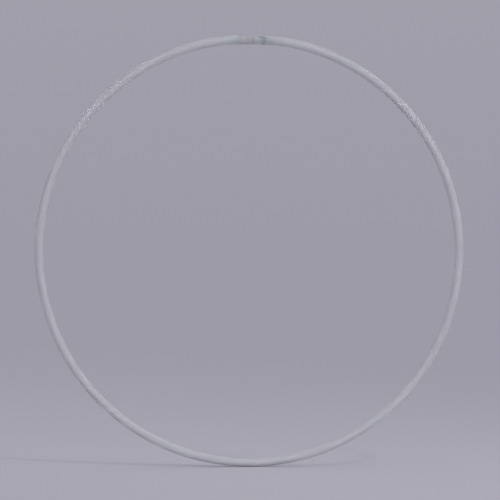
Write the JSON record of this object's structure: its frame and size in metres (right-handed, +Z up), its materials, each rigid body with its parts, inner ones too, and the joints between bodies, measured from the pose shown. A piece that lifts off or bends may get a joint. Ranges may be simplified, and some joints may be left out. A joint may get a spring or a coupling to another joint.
{
  "type": "rhythmic hoop",
  "caption": "Translucent round-tube gymnastics hoop with a sleeve connector at the top, held by a rivet and a spring-loaded snap button so the ring can be opened.",
  "frame": {"origin": "centre of the ring, on the hoop's axis, midway between the tube's two sides", "axes": "+Y along the hoop's axis, +Z up through the connector at the top of the ring, +X towards the snap button's side"},
  "size_m": [0.886, 0.018, 0.8855],
  "materials": {
    "tube": "natural translucent polypropylene extrusion, satin",
    "insert": "clear polycarbonate sleeve, smooth",
    "rivet": "set aluminium blind rivet, fine tumbled surface",
    "mandrel": "zinc-plated steel, broken end",
    "spring": "bright rolled spring steel",
    "button": "polished nickel plating"
  },
  "bodies": {
    "root": {"hoop_tube_left": "tube", "connector_insert": "insert", "rivet_body": "rivet", "rivet_mandrel": "mandrel", "snap_spring": "spring"},
    "free_half": {"hoop_tube_right": "tube"},
    "button": {"snap_button": "button"}
  },
  "joints": [
    {"name": "hoop_opening", "type": "hinge", "parent": "root", "child": "free_half", "pos_m": [0, 0, -0.443], "axis": [0, 1, 0], "range_deg": [0, 12], "stiffness_Nm_per_rad": 5.2, "springref_deg": -6.88},
    {"name": "button_press", "type": "slide", "parent": "root", "child": "button", "axis": [-0.0225, 0, -0.9997], "range_m": [0, 0.0045], "stiffness_N_per_m": 2000, "springref_m": -0.0005, "deforming": ["snap_spring"]}
  ]
}
